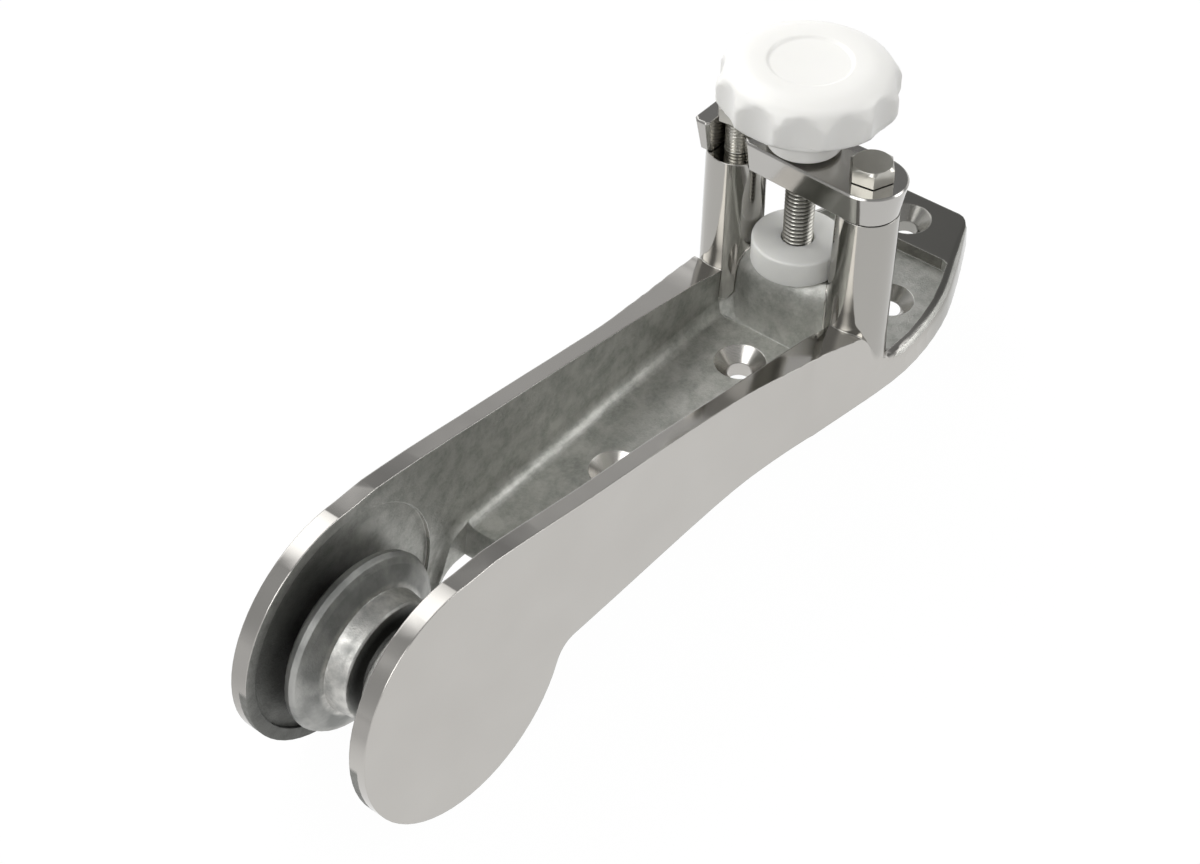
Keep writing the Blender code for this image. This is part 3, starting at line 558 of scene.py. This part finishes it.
def pad_piece(made):
    """The pad: a disc with a blind bore from above and a thin moulding seam down its side."""
    low = ANVIL_TOP_Z + GAP
    top = low + PAD_HEIGHT
    bore = SPINDLE_R + GAP
    depth = 5.5
    outline = [(AXIS_R, low), (PAD_R, low), (PAD_R, top)]
    outline += [(bore, top), (bore, top - depth), (AXIS_R, top - depth - 0.1)]
    profile = smooth_profile(outline, (0.9, 0.9, 0.4, 0.2))
    seam, seam_height, seam_width = math.radians(50.0), 0.1, 0.35

    def with_seam(radius, z, angle):
        off = (angle - seam) * PAD_R
        if radius <= PAD_R - 0.05:
            return radius
        return radius + seam_height * math.exp(-((off / seam_width) ** 2))

    points, faces = turned_shape(profile, with_seam)
    piece = mesh_piece("pad_disc", points, faces, made, "pad")
    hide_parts("pressure_pad")


def latch_thread_piece(made):
    """The threaded shank that shows in the bridge's open slot, round the latch bolt's own shank."""
    high = BRIDGE_TOP_Z + GAP + 0.2
    points, faces = thread_shape(LATCH_THREAD_R, BOLT_PITCH, LATCH_THREAD_LOW_Z, high, (0.0, -POST_Y))
    mesh_piece("latch_thread", points, faces, made, "latch", 30.0)


def area_lamp(name, place, target, size, watts):
    """A soft lamp in metres and watts that polished metal doesn't mirror."""
    data = bpy.data.lights.new(name, "AREA")
    data.shape = "RECTANGLE"
    data.size, data.size_y = size
    data.energy = watts
    lamp = bpy.data.objects.new(name, data)
    lamp.visible_glossy = False
    lamp.location = place
    lamp.rotation_euler = (Vector(target) - Vector(place)).to_track_quat("-Z", "Y").to_euler()
    bpy.context.scene.collection.objects.link(lamp)


def place_camera(scene):
    data = bpy.data.cameras.new("camera")
    data.lens = LENS_MM
    data.sensor_width = SENSOR_MM
    data.sensor_fit = "HORIZONTAL"
    data.clip_start = 0.01
    camera = bpy.data.objects.new("camera", data)
    camera.location = EYE
    camera.rotation_euler = LOOK.to_track_quat("-Z", "Y").to_euler()
    scene.collection.objects.link(camera)
    scene.camera = camera


def toward(graph, heading, azimuth, elevation, inner, outer):
    """1 within the inner angle of this direction and 0 beyond the outer one; all in degrees."""
    azimuth, elevation = math.radians(azimuth), math.radians(elevation)
    level = math.cos(elevation)
    centre = (level * math.cos(azimuth), level * math.sin(azimuth), math.sin(elevation))
    edge, full = math.cos(math.radians(outer)), math.cos(math.radians(inner))
    product = graph.node("ShaderNodeVectorMath", operation="DOT_PRODUCT")
    graph.put(product.inputs[0], heading)
    product.inputs[1].default_value = centre
    return graph.between(product.outputs["Value"], edge, full)


def studio_world(scene):
    """A pale sky that fades upward and astern; polished metal also sees soft glows where the lamps are."""
    world = bpy.data.worlds.new("studio")
    scene.world = world
    world.use_nodes = True
    graph = Graph(world.node_tree)
    background = world.node_tree.nodes["Background"]
    heading = graph.node("ShaderNodeTexCoord").outputs["Generated"]
    x, _, z = graph.parts(heading)
    height = graph.between(z, 0.1, 0.9)
    astern = graph.math("MULTIPLY", graph.between(x, -0.3, -0.8), graph.between(z, 0.1, 0.4))
    seen, mirrored = graph.rays()
    horizon = graph.mix(mirrored, grey(HORIZON_TONE), grey(1.0))
    sky = graph.mix(height, horizon, grey(ZENITH_TONE))
    sky = graph.mix(astern, sky, grey(ASTERN_TONE))
    dim = graph.math("MULTIPLY", toward(graph, heading, *DIM_SIDE), mirrored)
    sky = graph.mix(dim, sky, grey(DIM_TONE))
    graph.put(background.inputs["Color"], graph.mix(seen, sky, grey(1.0)))
    glow = None
    for strength, *lobe in GLOWS:
        part = graph.math("MULTIPLY", toward(graph, heading, *lobe), strength)
        glow = graph.math("ADD", glow, part) if glow else part
    glow = graph.math("MULTIPLY", glow, mirrored)
    graph.put(background.inputs["Strength"], graph.math("ADD", 1.0, glow))


def studio_floor(scene):
    """White to the camera, still with the object's shadow, and less bright as a light from below."""
    floor_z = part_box("frame_casting")[0][2] - FLOOR_DROP * MM
    mesh = bpy.data.meshes.new("studio_floor")
    sides = ((-1, -1), (1, -1), (1, 1), (-1, 1))
    corners = [(x * FLOOR_HALF_SIZE, y * FLOOR_HALF_SIZE, floor_z) for x, y in sides]
    mesh.from_pydata(corners, [], [(0, 1, 2, 3)])
    floor = bpy.data.objects.new("studio_floor", mesh)
    scene.collection.objects.link(floor)
    made, graph, shader, place = start_material("floor_paint")
    paper = graph.noise(place, 3.0, detail=3.0)
    graph.put(shader.inputs["Base Color"], graph.mix(paper, *map(grey, FLOOR_TONES)))
    shader.inputs["Roughness"].default_value = 0.9
    glow = graph.node("ShaderNodeEmission")
    share = graph.node("ShaderNodeMixShader")
    seen, mirrored = graph.rays()
    x, y, _ = graph.parts(place)
    starboard_bow = graph.math("MULTIPLY", graph.between(y, 0.0, -0.08), graph.between(x, 0.15, 0.25))
    mirrored = graph.math("MULTIPLY", mirrored, graph.blend(starboard_bow, 1.0, 0.5))
    seen = graph.math("MAXIMUM", seen, mirrored)
    graph.put(share.inputs[0], graph.math("MULTIPLY", seen, FLOOR_GLOW_SHARE))
    glow.inputs["Strength"].default_value = FLOOR_GLOW
    graph.put(share.inputs[1], shader.outputs[0])
    graph.put(share.inputs[2], glow.outputs[0])
    graph.put(made.node_tree.nodes["Material Output"].inputs["Surface"], share.outputs[0])
    mesh.materials.append(made)


def studio():
    """Camera, soft lamps, world and floor."""
    scene = bpy.context.scene
    scene.view_settings.view_transform = "Standard"
    place_camera(scene)
    area_lamp("starboard softbox", (0.0, -0.62, 0.70), (0.10, 0.0, 0.03), (0.75, 0.55), 6.0)
    area_lamp("bow softbox", (1.0, 0.1, 0.6), (0.05, 0.0, 0.0), (0.5, 0.5), 3.0)
    area_lamp("port softbox", (-0.5, 0.5, 0.55), (0.05, 0.0, 0.0), (0.5, 0.4), 2.0)
    studio_world(scene)
    studio_floor(scene)


def smooth_by_angle(degrees):
    """A node group that joins the triangles and shades smooth except along sharper edges than this."""
    group = bpy.data.node_groups.new("smooth_by_angle", "GeometryNodeTree")
    group.interface.new_socket("Geometry", in_out="INPUT", socket_type="NodeSocketGeometry")
    group.interface.new_socket("Geometry", in_out="OUTPUT", socket_type="NodeSocketGeometry")
    graph = Graph(group)
    joined = graph.node("GeometryNodeMergeByDistance")
    joined.inputs["Distance"].default_value = 0.001 * MM
    plain = graph.node("GeometryNodeRemoveAttribute")
    plain.inputs["Name"].default_value = "custom_normal"
    faces = graph.node("GeometryNodeSetShadeSmooth", domain="FACE")
    edges = graph.node("GeometryNodeSetShadeSmooth", domain="EDGE")
    edges.inputs["Shade Smooth"].default_value = False
    angle = graph.node("GeometryNodeInputMeshEdgeAngle").outputs["Unsigned Angle"]
    sharp = graph.node("FunctionNodeCompare", data_type="FLOAT", operation="GREATER_THAN")
    group.links.new(angle, sharp.inputs[0])
    sharp.inputs[1].default_value = math.radians(degrees)
    group.links.new(sharp.outputs[0], edges.inputs["Selection"])
    steps = [graph.node("NodeGroupInput"), joined, plain, faces, edges, graph.node("NodeGroupOutput")]
    for before, after in zip(steps, steps[1:]):
        group.links.new(before.outputs[0], after.inputs[0])
    return group


def smooth_nodes():
    """Shade the CAD nodes' round surfaces smooth and keep their edges."""
    group = smooth_by_angle(SHARP_ANGLE)
    for obj in nodes.values():
        obj.modifiers.new("smooth by angle", "NODES").node_group = group
        weighted = obj.modifiers.new("weighted normals", "WEIGHTED_NORMAL")
        weighted.mode = "FACE_AREA_WITH_ANGLE"
        weighted.keep_sharp = True


def dress_nodes():
    """Better materials on the CAD nodes that stay."""
    bolts = turned_steel("bolt_steel_finish", (0.52, 0.51, 0.47), 0.3)
    bearing = plastic("bearing_plastic_finish", (0.7, 0.69, 0.65), 0.5)
    finishes = {
        "frame_casting": casting_material(),
        "roller_sheave": wheel_material(),
        "roller_bush": bearing,
        "thrust_washer_port": bearing,
        "thrust_washer_starboard": bearing,
        "roller_axle": turned_steel("pin_steel_finish", (0.6, 0.6, 0.6), 0.22),
        "clamp_bridge": polished("bridge_metal_finish", (0.47, 0.46, 0.44), 0.1),
        "pivot_bolt": bolts,
        "latch_bolt": bolts,
        "knob_insert": turned_steel("insert_brass_finish", (0.62, 0.48, 0.26), 0.3),
        "pad_snap_ring": turned_steel("spring_steel_finish", (0.35, 0.35, 0.37), 0.3),
    }
    for name, made in finishes.items():
        mesh = nodes[name].data
        mesh.materials.clear()
        mesh.materials.append(made)
    knob_piece(plastic("knob_plastic_finish", (0.86, 0.853, 0.825), 0.32, 0.15, 1.0))
    spindle_piece(thread_steel("thread_steel_finish", (0.52, 0.51, 0.47), SPINDLE_R, 0.9, 0.0))
    pad_piece(plastic("pad_plastic_finish", (0.74, 0.74, 0.715), 0.4, 0.6, 4.0))
    latch_thread_piece(thread_steel("bolt_thread_finish", (0.50, 0.49, 0.45), LATCH_THREAD_R, 0.7, -POST_Y))


dress_nodes()
smooth_nodes()
studio()
